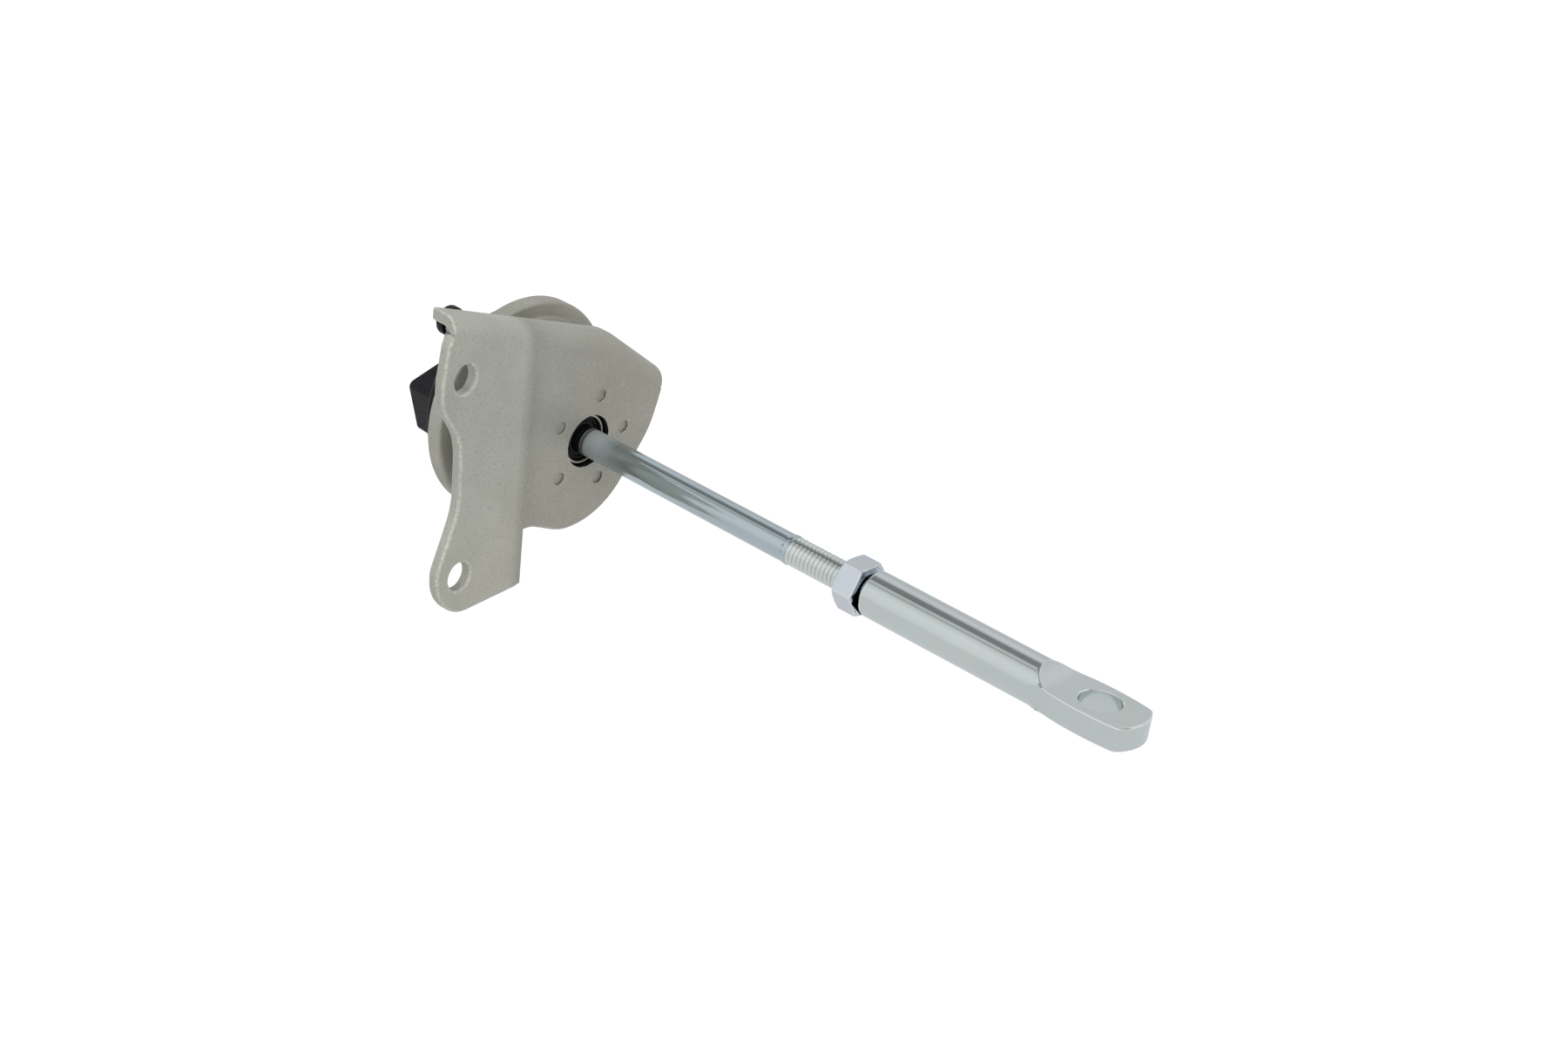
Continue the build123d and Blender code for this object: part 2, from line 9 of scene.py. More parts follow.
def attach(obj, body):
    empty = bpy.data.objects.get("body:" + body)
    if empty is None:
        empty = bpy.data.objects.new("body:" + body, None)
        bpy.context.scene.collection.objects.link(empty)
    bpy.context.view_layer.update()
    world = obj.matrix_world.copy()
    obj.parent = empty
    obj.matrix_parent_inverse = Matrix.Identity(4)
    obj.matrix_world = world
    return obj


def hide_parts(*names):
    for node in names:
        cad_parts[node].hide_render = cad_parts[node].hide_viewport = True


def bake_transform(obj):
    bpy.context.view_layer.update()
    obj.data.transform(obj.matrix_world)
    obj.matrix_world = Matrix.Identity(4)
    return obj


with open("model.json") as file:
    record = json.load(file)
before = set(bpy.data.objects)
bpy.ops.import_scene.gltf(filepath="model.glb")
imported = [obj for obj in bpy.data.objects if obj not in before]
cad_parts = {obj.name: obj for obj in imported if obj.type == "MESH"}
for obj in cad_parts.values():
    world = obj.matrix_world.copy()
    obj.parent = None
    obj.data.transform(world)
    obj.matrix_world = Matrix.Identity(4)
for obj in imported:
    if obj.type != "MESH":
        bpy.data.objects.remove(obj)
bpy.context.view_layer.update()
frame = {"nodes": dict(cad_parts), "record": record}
nodes = frame["nodes"]
print("frame loaded", len(nodes), "nodes")

# Everything is in metres; the rod's axis runs along X at this place
rodAxis = {"y": 0.03765, "z": -0.0028}
frontFaceX = -0.0029  # front face of the bracket's main plate
mm = 0.001


def alongRod(x):
    # x counted in millimetres from the bracket's front face
    return frontFaceX + x * mm


# Studio: one camera, a pale floor, soft lamps and a light room

cameraSettings = {
    "place": (0.37279, -0.36792, 0.26063),
    "right": (0.7351, 0.6657, 0.1285),
    "up": (-0.3875, 0.2571, 0.8853),
    "back": (0.5563, -0.7006, 0.4469),
    "lens": 68.51,
    "sensor": 36.0,
    "clip": (0.01, 20),
}


def makeCamera():
    data = bpy.data.cameras.new("studioCamera")
    data.lens = cameraSettings["lens"]
    data.sensor_fit = "HORIZONTAL"
    data.sensor_width = cameraSettings["sensor"]
    data.clip_start, data.clip_end = cameraSettings["clip"]
    camera = bpy.data.objects.new("studioCamera", data)
    axes = [Vector(cameraSettings[key]).normalized() for key in ("right", "up", "back")]
    turn = Matrix(axes).transposed().to_4x4()
    camera.matrix_world = Matrix.Translation(cameraSettings["place"]) @ turn
    bpy.context.scene.collection.objects.link(camera)
    bpy.context.scene.camera = camera


lampSettings = {
    "topLamp": {"place": (0.05, 0.10, 0.75), "aim": (0.05, 0.03, 0.0), "size": 0.6, "power": 2.5},
    "frontLamp": {"place": (0.65, -0.25, 0.30), "aim": (0.03, 0.02, 0.0), "size": 0.5, "power": 1.9},
    "sideLamp": {"place": (0.05, -0.70, 0.25), "aim": (0.0, 0.02, 0.0), "size": 0.5, "power": 1.3},
}


def makeLamps():
    for name, values in lampSettings.items():
        data = bpy.data.lights.new(name, "AREA")
        data.shape = "DISK"
        data.size = values["size"]
        data.energy = values["power"]
        lamp = bpy.data.objects.new(name, data)
        lamp.location = values["place"]
        lamp.visible_glossy = False  # polished metal sees the room alone
        way = Vector(values["aim"]) - Vector(values["place"])
        lamp.rotation_euler = way.to_track_quat("-Z", "Y").to_euler()
        bpy.context.scene.collection.objects.link(lamp)


roomSettings = {
    "ambient": 0.42,  # strength for diffuse light
    "glow": 1.0,  # strength of what polished metal sees
    # shade of the room round the rod's direction: 0 degrees is the +Y side, 90 is straight up
    "shades": [
        (0, 0.58), (30, 0.65), (44, 0.78), (58, 0.72), (66, 0.50), (71, 0.20), (74, 0.22),
        (76, 0.36), (79, 0.16), (84, 0.34), (88, 0.17), (93, 0.22), (97, 0.66), (104, 0.68),
        (109, 0.40), (113, 0.46), (117, 0.74), (140, 0.88), (160, 0.86), (190, 0.80), (205, 0.70),
        (235, 0.58), (268, 0.46), (300, 0.56), (327, 0.60), (360, 0.60),
    ],
    "floorShade": 0.66,
    "floorGlow": 0.73,  # how bright polished metal sees the floor
    "floorLift": 1.2,  # how bright the camera sees it
    "floorMix": 0.84,  # share of that brightness; the rest is the real shadow
    "floorZ": -0.16,
    "floorSize": 6.0,
}


def makeRoom():
    world = bpy.data.worlds.new("studioRoom")
    bpy.context.scene.world = world
    world.use_nodes = True
    tree = world.node_tree
    tree.nodes.clear()
    add = tree.nodes.new
    link = tree.links.new
    out = add("ShaderNodeOutputWorld")
    path = add("ShaderNodeLightPath")
    coord = add("ShaderNodeTexCoord")
    split = add("ShaderNodeSeparateXYZ")
    link(coord.outputs["Generated"], split.inputs[0])

    angle = add("ShaderNodeMath")  # angle round the rod's direction
    angle.operation = "ARCTAN2"
    link(split.outputs["Z"], angle.inputs[0])
    link(split.outputs["Y"], angle.inputs[1])
    turns = add("ShaderNodeMath")
    turns.operation = "DIVIDE"
    turns.inputs[1].default_value = 2 * math.pi
    link(angle.outputs[0], turns.inputs[0])
    wrapped = add("ShaderNodeMath")
    wrapped.operation = "FRACT"
    link(turns.outputs[0], wrapped.inputs[0])
    ramp = add("ShaderNodeValToRGB")
    link(wrapped.outputs[0], ramp.inputs[0])
    shades = roomSettings["shades"]
    while len(ramp.color_ramp.elements) < len(shades):
        ramp.color_ramp.elements.new(0.5)
    for element, (degrees, shade) in zip(ramp.color_ramp.elements, shades):
        element.position = degrees / 360
        element.color = (shade, shade, shade, 1)

    glossy = add("ShaderNodeBackground")
    link(ramp.outputs[0], glossy.inputs["Color"])
    glossy.inputs["Strength"].default_value = roomSettings["glow"]
    white = add("ShaderNodeBackground")
    white.inputs["Color"].default_value = (1, 1, 1, 1)
    soft = add("ShaderNodeBackground")
    soft.inputs["Color"].default_value = (1, 1, 1, 1)
    soft.inputs["Strength"].default_value = roomSettings["ambient"]
    first = add("ShaderNodeMixShader")
    link(path.outputs["Is Glossy Ray"], first.inputs[0])
    link(soft.outputs[0], first.inputs[1])
    link(glossy.outputs[0], first.inputs[2])
    second = add("ShaderNodeMixShader")
    link(path.outputs["Is Camera Ray"], second.inputs[0])
    link(first.outputs[0], second.inputs[1])
    link(white.outputs[0], second.inputs[2])
    link(second.outputs[0], out.inputs["Surface"])


def makeFloor():
    half = roomSettings["floorSize"] / 2
    z = roomSettings["floorZ"]
    mesh = bpy.data.meshes.new("studioFloor")
    corners = [(-half, -half, z), (half, -half, z), (half, half, z), (-half, half, z)]
    mesh.from_pydata(corners, [], [(0, 1, 2, 3)])
    floor = bpy.data.objects.new("studioFloor", mesh)
    bpy.context.scene.collection.objects.link(floor)
    material = bpy.data.materials.new("paleFloor")
    material.use_nodes = True
    tree = material.node_tree
    tree.nodes.clear()
    out = tree.nodes.new("ShaderNodeOutputMaterial")
    diffuse = tree.nodes.new("ShaderNodeBsdfDiffuse")
    shade = roomSettings["floorShade"]
    diffuse.inputs["Color"].default_value = (shade, shade, shade, 1)
    lift = tree.nodes.new("ShaderNodeEmission")
    path = tree.nodes.new("ShaderNodeLightPath")
    both = tree.nodes.new("ShaderNodeMixShader")
    seen = tree.nodes.new("ShaderNodeMath")  # the camera sees a lifted floor with a little shadow
    seen.operation = "MULTIPLY_ADD"
    seen.inputs[1].default_value = roomSettings["floorMix"]
    tree.links.new(path.outputs["Is Camera Ray"], seen.inputs[0])
    tree.links.new(path.outputs["Is Glossy Ray"], seen.inputs[2])  # polished metal sees an even one
    tree.links.new(seen.outputs[0], both.inputs[0])
    strength = tree.nodes.new("ShaderNodeMath")
    strength.operation = "MULTIPLY_ADD"
    strength.inputs[1].default_value = roomSettings["floorLift"] - roomSettings["floorGlow"]
    strength.inputs[2].default_value = roomSettings["floorGlow"]
    tree.links.new(path.outputs["Is Camera Ray"], strength.inputs[0])
    tree.links.new(strength.outputs[0], lift.inputs["Strength"])
    tree.links.new(diffuse.outputs[0], both.inputs[1])
    tree.links.new(lift.outputs[0], both.inputs[2])
    tree.links.new(both.outputs[0], out.inputs["Surface"])
    mesh.materials.append(material)


bpy.context.scene.view_settings.view_transform = "Standard"
makeCamera()
makeLamps()
makeRoom()
makeFloor()
print("studio ready")


# Materials

class Finish:
    # a small helper that keeps one material's nodes together
    def __init__(self, name):
        self.material = bpy.data.materials.new(name)
        self.material.use_nodes = True
        self.tree = self.material.node_tree
        self.shader = self.tree.nodes["Principled BSDF"]
        self.coord = self.tree.nodes.new("ShaderNodeTexCoord")

    def add(self, kind, **values):
        node = self.tree.nodes.new(kind)
        for key, value in values.items():
            setattr(node, key, value)
        return node

    def link(self, source, target):
        self.tree.links.new(source, target)

    def place(self, scale):
        mapping = self.add("ShaderNodeMapping")
        mapping.inputs["Scale"].default_value = scale
        self.link(self.coord.outputs["Object"], mapping.inputs["Vector"])
        return mapping.outputs[0]

    def noise(self, scale, detail, rough, stretch=(1, 1, 1), warp=0.0):
        node = self.add("ShaderNodeTexNoise")
        node.inputs["Scale"].default_value = scale
        node.inputs["Detail"].default_value = detail
        node.inputs["Roughness"].default_value = rough
        node.inputs["Distortion"].default_value = warp
        self.link(self.place(stretch), node.inputs["Vector"])
        return node.outputs["Fac"]

    def patches(self, recipe, low=0.0, high=1.0):
        # noise from a recipe (scale, detail, roughness, warp, from, to), spread from low to high
        scale, detail, rough, warp, start, end = recipe
        return self.spread(self.noise(scale, detail, rough, warp=warp), start, end, low, high)

    def axis(self, letter):
        split = self.add("ShaderNodeSeparateXYZ")
        self.link(self.coord.outputs["Object"], split.inputs[0])
        return split.outputs[letter]

    def fromRod(self):
        # distance from the rod's axis
        flat = self.add("ShaderNodeVectorMath", operation="SUBTRACT")
        flat.inputs[1].default_value = (0, rodAxis["y"], rodAxis["z"])
        self.link(self.coord.outputs["Object"], flat.inputs[0])
        across = self.add("ShaderNodeVectorMath", operation="MULTIPLY")
        across.inputs[1].default_value = (0, 1, 1)
        self.link(flat.outputs[0], across.inputs[0])
        length = self.add("ShaderNodeVectorMath", operation="LENGTH")
        self.link(across.outputs[0], length.inputs[0])
        return length.outputs["Value"]

    def spread(self, value, low, high, toLow=0.0, toHigh=1.0):
        node = self.add("ShaderNodeMapRange")
        limits = (("From Min", low), ("From Max", high), ("To Min", toLow), ("To Max", toHigh))
        for key, number in limits:
            node.inputs[key].default_value = number
        self.link(value, node.inputs["Value"])
        return node.outputs[0]

    def mix(self, amount, first, second, kind="MIX"):
        node = self.add("ShaderNodeMix", data_type="RGBA", blend_type=kind)
        for place, value in ((0, amount), (6, first), (7, second)):
            socket = node.inputs[place]
            if isinstance(value, (int, float)):
                socket.default_value = value
            elif isinstance(value, tuple):
                socket.default_value = (*value, 1)
            else:
                self.link(value, socket)
        return node.outputs[2]

    def maths(self, operation, first, second):
        node = self.add("ShaderNodeMath", operation=operation)
        for socket, value in ((node.inputs[0], first), (node.inputs[1], second)):
            if isinstance(value, (int, float)):
                socket.default_value = value
            else:
                self.link(value, socket)
        return node.outputs[0]

    def bump(self, height, distance, strength=1.0, under=None):
        node = self.add("ShaderNodeBump")
        node.inputs["Distance"].default_value = distance
        node.inputs["Strength"].default_value = strength
        self.link(height, node.inputs["Height"])
        if under is not None:
            self.link(under, node.inputs["Normal"])
        return node.outputs[0]

    def set(self, **values):
        for key, value in values.items():
            socket = self.shader.inputs[key.replace("_", " ")]
            if isinstance(value, (int, float)):
                socket.default_value = value
            elif isinstance(value, tuple):
                socket.default_value = (*value, 1)
            else:
                self.link(value, socket)
        return self


# the noise of a finish is given as (scale, detail, roughness, warp, from, to)

paintSettings = {
    "colour": (0.395, 0.395, 0.350),
    "lowColour": (0.350, 0.348, 0.305),
    "earTone": (1.27, 1.28, 1.29),  # the ear's face catches more of the light
    "foldFrom": 0.0156,  # Y of the ramp between ear and plate
    "foldTo": 0.0184,
    "foldSlant": -0.035,
    "creaseTo": 0.0235,
    "crease": (0.88, 0.885, 0.89),  # a soft shade along the inside of the fold
    "warm": (1.03, 1.0, 0.975),  # the plate turns a little browner towards its lower right
    "cool": (0.985, 1.0, 0.99),
    "warmTo": 0.06,  # Y minus Z in metres where it is brownest
    "clouds": (70, 5, 0.6, 0.6, 0.34, 0.68),
    "brightFlake": (0.45, 0.45, 0.405),
    "darkFlake": (0.335, 0.332, 0.295),
    "flakes": (2600, 2, 0.6),  # scale, detail, roughness
    "brightFrom": (0.55, 0.70),
    "darkFrom": (0.45, 0.32),
    "shadowed": (0.36, 0.35, 0.33),  # the small steps of the weld dimples are soft shadows
    "stepFacing": (0.90, 0.55),  # how far a face looks along X, from level to steep
    "rimHighlight": (0.66, 0.66, 0.60),  # painted highlight: the rounded rims are painted lighter in small beads, for the light they catch
    "grime": (0.13, 0.125, 0.11),
    "pits": (900, 3, 0.65, 0.0, 0.68, 0.74),
    "blotches": (130, 3, 0.6, 1.2, 0.60, 0.72),
    "markWobble": (1400, 0.3, 0.7, 0.0004),  # scale, from, to and depth of a mark's uneven edge
    "markStrength": 0.75,
    "dimples": (11.6, 11.4),  # mm from the rod's axis, outside and inside of a soft limit
    "gap": (5.82, 5.76),
    "lipOutside": (5.34, 5.28),
    "lipInside": (4.98, 5.04),
    "boreShade": (0.006, 0.006, 0.006),  # painted shade: the gap round the drawn neck is painted black for its shadow
    # painted highlight: the thin front edge of the drawn neck is painted lighter than the paint
    "lip": (0.62, 0.60, 0.52),
    # beads of the painted highlight on the rims
    "beads": (1900, 3, 0.7, 0.0, 0.42, 0.66),
    "grain": (1500, 3, 0.6),  # scale, detail, roughness
    "faceGrain": 0.000008,  # depth in metres
    "rimGrain": 0.00003,
    "orangePeel": (300, 2, 0.5),
    "peelDepth": 0.00004,
    "metallic": 0.3,
    "roughness": (0.44, 0.38),
    # small dark marks: (x, y, z, radius) in metres
    "marks": [
        (-0.0029, 0.0500, 0.0170, 0.0007), (-0.0029, 0.0436, 0.0190, 0.0005),
        (0.0000, 0.0010, 0.0300, 0.0008), (0.0005, -0.0060, -0.0250, 0.0006),
        (0.0000, 0.0090, 0.0230, 0.0005), (0.0003, 0.0070, 0.0060, 0.0004),
    ],
}


def makePaint(name="silverPaint", rim=False):
    finish = Finish(name)
    cloud = finish.patches(paintSettings["clouds"])
    colour = finish.mix(cloud, paintSettings["lowColour"], paintSettings["colour"])
    side = finish.axis("Y")
    slant = finish.maths("MULTIPLY", finish.axis("Z"), paintSettings["foldSlant"])
    fold = finish.maths("ADD", side, slant)
    onPlate = finish.spread(fold, paintSettings["foldFrom"], paintSettings["foldTo"])
    tone = finish.mix(onPlate, paintSettings["earTone"], (1, 1, 1))
    colour = finish.mix(1.0, colour, tone, "MULTIPLY")
    creaseEnd = finish.spread(fold, paintSettings["foldTo"], paintSettings["creaseTo"], 1.0, 0.0)
    crease = finish.maths("MULTIPLY", onPlate, creaseEnd)
    colour = finish.mix(crease, colour, finish.mix(1.0, colour, paintSettings["crease"], "MULTIPLY"))
    across = finish.maths("SUBTRACT", side, finish.axis("Z"))
    drift = finish.spread(across, 0.0, paintSettings["warmTo"])
    warmth = finish.mix(drift, paintSettings["cool"], paintSettings["warm"])
    colour = finish.mix(1.0, colour, warmth, "MULTIPLY")
    flakes = finish.noise(*paintSettings["flakes"])
    bright = finish.spread(flakes, *paintSettings["brightFrom"])
    colour = finish.mix(bright, colour, paintSettings["brightFlake"])
    dim = finish.spread(flakes, *paintSettings["darkFrom"])
    colour = finish.mix(dim, colour, paintSettings["darkFlake"])
    pits = finish.patches(paintSettings["pits"])
    worn = finish.maths("MULTIPLY", pits, finish.patches(paintSettings["blotches"]))
    colour = finish.mix(worn, colour, paintSettings["grime"])
    wobbleScale, wobbleFrom, wobbleTo, depth = paintSettings["markWobble"]
    for x, y, z, radius in paintSettings["marks"]:
        spot = finish.add("ShaderNodeVectorMath", operation="DISTANCE")
        wobble = finish.add("ShaderNodeTexNoise")
        wobble.inputs["Scale"].default_value = wobbleScale
        finish.link(finish.coord.outputs["Object"], wobble.inputs["Vector"])
        finish.link(finish.coord.outputs["Object"], spot.inputs[0])
        spot.inputs[1].default_value = (x, y, z)
        edge = finish.spread(wobble.outputs["Fac"], wobbleFrom, wobbleTo, -depth, depth)
        far = finish.maths("ADD", spot.outputs["Value"], edge)
        near = finish.spread(far, radius / 2, radius, paintSettings["markStrength"], 0.0)
        colour = finish.mix(near, colour, paintSettings["grime"])
    reach = finish.fromRod()

    def ring(key):
        outside, inside = paintSettings[key]
        return finish.spread(reach, outside * mm, inside * mm)

    facing = finish.add("ShaderNodeSeparateXYZ")
    finish.link(finish.coord.outputs["Normal"], facing.inputs[0])
    steep = finish.spread(facing.outputs["X"], *paintSettings["stepFacing"])
    step = finish.maths("MULTIPLY", steep, ring("dimples"))
    shadow = finish.mix(1.0, colour, paintSettings["shadowed"], "MULTIPLY")
    colour = finish.mix(step, colour, shadow)
    # painted shade: inside the gap's radius the paint turns black, all but the neck's lip
    shadedGap = ring("gap")
    # painted highlight on the neck's thin lip
    lip = finish.maths("MULTIPLY", ring("lipOutside"), ring("lipInside"))
    colour = finish.mix(lip, colour, paintSettings["lip"])
    dark = finish.maths("MULTIPLY", shadedGap, finish.maths("SUBTRACT", 1.0, lip))
    colour = finish.mix(dark, colour, paintSettings["boreShade"])
    # painted highlight: the rounded rims turn lighter in beads
    if rim:
        colour = finish.mix(finish.patches(paintSettings["beads"]), colour, paintSettings["rimHighlight"])
    grainDepth = paintSettings["rimGrain" if rim else "faceGrain"]
    grain = finish.bump(finish.noise(*paintSettings["grain"]), grainDepth)
    peelNoise = finish.noise(*paintSettings["orangePeel"])
    peel = finish.bump(peelNoise, paintSettings["peelDepth"], under=grain)
    rough = finish.spread(cloud, 0.0, 1.0, *paintSettings["roughness"])
    finish.set(Base_Color=colour, Metallic=paintSettings["metallic"], Roughness=rough, Normal=peel)
    return finish.material


zincSettings = {
    # main colour, second colour of its drift, colour of the stains
    "rodZinc": ((0.53, 0.61, 0.66), (0.48, 0.56, 0.60), (0.54, 0.60, 0.60)),
    # painted highlight: a much lighter copy of the zinc for the rounded rims, for the light they catch
    "rimZincHighlight": ((0.95, 0.97, 0.97), (0.82, 0.85, 0.86), (0.80, 0.82, 0.78)),
    "threadZinc": ((0.74, 0.79, 0.78), (0.68, 0.74, 0.73), (0.70, 0.73, 0.66)),
    "nutZinc": ((0.69, 0.74, 0.80), (0.64, 0.70, 0.76), (0.64, 0.69, 0.72)),
    "sleeveZinc": ((0.66, 0.72, 0.73), (0.63, 0.70, 0.71), (0.66, 0.70, 0.64)),
    "drift": (60, 3, 0.5, 0.5, 0.35, 0.65),
    "stains": (110, 4, 0.6, 1.0, 0.50, 0.72),
    "stainStrength": 0.7,
    "brush": (2600, 3, 0.6),  # scale, detail, roughness
    "brushed": (0.02, 1, 1),  # the brush lines run along X
    "brushRange": (0.3, 0.7),
    "brushDepth": 0.0000015,
    "roughness": (0.10, 0.19),
    # rings where the rod leaves its seal: (x in mm from the plate, shade)
    "entry": [
        (0.30, 0.006), (0.38, 0.27), (0.48, 0.27), (0.56, 0.06), (1.15, 0.08), (1.3, 0.25), (1.6, 0.30),
    ],
    "entryTint": (0.93, 1, 0.98),
    "entryRough": 0.3,  # extra roughness in the rings
    "entryEnd": 9.0,
}


def makeZinc(name, entry=False):
    finish = Finish(name)
    main, second, stained = zincSettings[name]
    colour = finish.mix(finish.patches(zincSettings["drift"]), second, main)
    stains = finish.patches(zincSettings["stains"], 0.0, zincSettings["stainStrength"])
    colour = finish.mix(stains, colour, stained)
    streaks = finish.noise(*zincSettings["brush"], stretch=zincSettings["brushed"])
    rough = finish.spread(streaks, *zincSettings["brushRange"], *zincSettings["roughness"])
    lines = finish.bump(streaks, zincSettings["brushDepth"])
    metal = 1.0
    if entry:
        start = alongRod(zincSettings["entry"][0][0])
        end = alongRod(zincSettings["entry"][-1][0])
        rings = finish.add("ShaderNodeValToRGB")
        finish.link(finish.spread(finish.axis("X"), start, end), rings.inputs[0])
        stops = [((alongRod(x) - start) / (end - start), shade) for x, shade in zincSettings["entry"]]
        while len(rings.color_ramp.elements) < len(stops):
            rings.color_ramp.elements.new(0.5)
        for element, (place, shade) in zip(rings.color_ramp.elements, stops):
            element.position = place
            element.color = (*(shade * part for part in zincSettings["entryTint"]), 1)
        metal = finish.spread(finish.axis("X"), end, alongRod(zincSettings["entryEnd"]))
        colour = finish.mix(metal, rings.outputs[0], colour)
        dull = finish.maths("MULTIPLY", finish.maths("SUBTRACT", 1.0, metal), zincSettings["entryRough"])
        rough = finish.maths("ADD", rough, dull)
    finish.set(Base_Color=colour, Metallic=metal, Roughness=rough, Normal=lines)
    return finish.material


plasticSettings = {
    "colour": (0.010, 0.010, 0.013),
    "dust": (0.024, 0.024, 0.029),
    "dustNoise": (320, 5, 0.65, 0.4, 0.48, 0.75),
    "dustStrength": 0.8,
    "texture": (3200, 3, 0.6),  # scale, detail, roughness
    "textureDepth": 0.00003,
    "sheen": (600, 2, 0.55, 0.0, 0.3, 0.7),
    "roughness": (0.42, 0.55),
    "specular": 0.2,
}


def makePlastic():
    finish = Finish("blackPlastic")
    dust = finish.patches(plasticSettings["dustNoise"], 0.0, plasticSettings["dustStrength"])
    colour = finish.mix(dust, plasticSettings["colour"], plasticSettings["dust"])
    texture = finish.bump(finish.noise(*plasticSettings["texture"]), plasticSettings["textureDepth"])
    rough = finish.patches(plasticSettings["sheen"], *plasticSettings["roughness"])
    finish.set(Base_Color=colour, Roughness=rough, Normal=texture)
    finish.set(Specular_IOR_Level=plasticSettings["specular"])
    return finish.material


rubberSettings = {
    "colour": (0.010, 0.010, 0.011),
    "bloom": (0.030, 0.031, 0.033),
    "bloomNoise": (240, 4, 0.6, 0.0, 0.45, 0.75),
    "bloomStrength": 0.7,
    "skin": (1800, 2, 0.5),  # scale, detail, roughness
    "skinDepth": 0.00002,
    "roughness": 0.6,
    "specular": 0.2,
}


def makeRubber():
    finish = Finish("blackRubber")
    bloom = finish.patches(rubberSettings["bloomNoise"], 0.0, rubberSettings["bloomStrength"])
    colour = finish.mix(bloom, rubberSettings["colour"], rubberSettings["bloom"])
    skin = finish.bump(finish.noise(*rubberSettings["skin"]), rubberSettings["skinDepth"])
    finish.set(Base_Color=colour, Roughness=rubberSettings["roughness"], Normal=skin)
    finish.set(Specular_IOR_Level=rubberSettings["specular"])
    return finish.material


springSteelSettings = {
    "dark": (0.50, 0.51, 0.52),
    "light": (0.66, 0.66, 0.66),
    "lines": (1900, 3, 0.6),  # scale, detail, roughness
    "drawn": (1, 0.1, 0.1),
    "colourRange": (0.35, 0.65),
    "roughRange": (0.3, 0.7),
    "roughness": (0.2, 0.34),
}


def makeSpringSteel():
    finish = Finish("springSteel")
    drawn = finish.noise(*springSteelSettings["lines"], stretch=springSteelSettings["drawn"])
    lines = finish.spread(drawn, *springSteelSettings["colourRange"])
    colour = finish.mix(lines, springSteelSettings["dark"], springSteelSettings["light"])
    limits = (*springSteelSettings["roughRange"], *springSteelSettings["roughness"])
    rough = finish.spread(drawn, *limits)
    finish.set(Base_Color=colour, Metallic=1.0, Roughness=rough)
    return finish.material


# painted shade: the garter ring is painted near-black for the shade it sits in behind the lip
shadeDarkSteelSettings = {"colour": (0.012, 0.012, 0.013), "roughness": 0.5, "specular": 0.3}


def makeShadeDarkSteel():
    finish = Finish("shadeDarkSteel")
    finish.set(Base_Color=shadeDarkSteelSettings["colour"], Roughness=shadeDarkSteelSettings["roughness"])
    finish.set(Specular_IOR_Level=shadeDarkSteelSettings["specular"])
    return finish.material


brassSettings = {
    "tin": (0.74, 0.73, 0.68),
    "worn": (0.78, 0.62, 0.34),
    "wear": (700, 3, 0.6, 0.0, 0.55, 0.75),
    "roughness": (0.2, 0.35),
}


def makeTinnedBrass():
    finish = Finish("tinnedBrass")
    wear = finish.patches(brassSettings["wear"])
    colour = finish.mix(wear, brassSettings["tin"], brassSettings["worn"])
    rough = finish.spread(wear, 0, 1, *brassSettings["roughness"])
    finish.set(Base_Color=colour, Metallic=1.0, Roughness=rough)
    return finish.material


boardSettings = {
    "dark": (0.015, 0.10, 0.045),
    "light": (0.02, 0.13, 0.06),
    "weaveScale": 1600,
    "roughness": 0.3,
    "coat": 0.5,
}


def makeBoardLacquer():
    finish = Finish("boardLacquer")
    weave = finish.add("ShaderNodeTexChecker")
    weave.inputs["Scale"].default_value = boardSettings["weaveScale"]
    finish.link(finish.coord.outputs["Object"], weave.inputs["Vector"])
    colour = finish.mix(weave.outputs["Fac"], boardSettings["dark"], boardSettings["light"])
    finish.set(Base_Color=colour, Roughness=boardSettings["roughness"], Coat_Weight=boardSettings["coat"])
    return finish.material


finishes = {
    "silver_paint": makePaint(),
    "zinc_plate": makeZinc("sleeveZinc"),
    "bright_steel": makeSpringSteel(),
    "black_plastic": makePlastic(),
    "black_rubber": makeRubber(),
    "tinned_brass": makeTinnedBrass(),
    "board_green": makeBoardLacquer(),
}
rodFinish = makeZinc("rodZinc", entry=True)
threadFinish = makeZinc("threadZinc")
# painted highlight for the rounded rims of the zinc pieces
zincRimHighlight = makeZinc("rimZincHighlight")
# painted highlight: a lighter copy of the paint for the rounded rims
rimHighlightPaint = makePaint("silverPaintRimHighlight", rim=True)
garterFinish = makeShadeDarkSteel()
nutFinish = makeZinc("nutZinc")
slotOf = {part["node"]: part["material_slot"] for part in frame["record"]["subparts"]}
print("finishes ready")


# Shared shape helpers

def bodyOf(nodeName):
    for body, members in frame["record"]["behaviour"]["bodies"].items():
        if nodeName in members:
            return body


def smoothByAngle(mesh, degrees):
    work = bmesh.new()
    work.from_mesh(mesh)
    for face in work.faces:
        face.smooth = True
    for edge in work.edges:
        edge.smooth = len(edge.link_faces) == 2 and edge.calc_face_angle(0) < math.radians(degrees)
    work.to_mesh(mesh)
    work.free()


def finishPiece(piece, slotName, body, *replaced, look=None, rimLook=None):
    surfaces = [look or finishes[slotName]]
    if rimLook:
        surfaces.append(rimLook)
    while len(piece.data.materials) < len(surfaces):
        piece.data.materials.append(None)
    for place, surface in enumerate(surfaces):
        piece.data.materials[place] = surface
    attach(piece, body)
    if replaced:
        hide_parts(*replaced)
    return piece


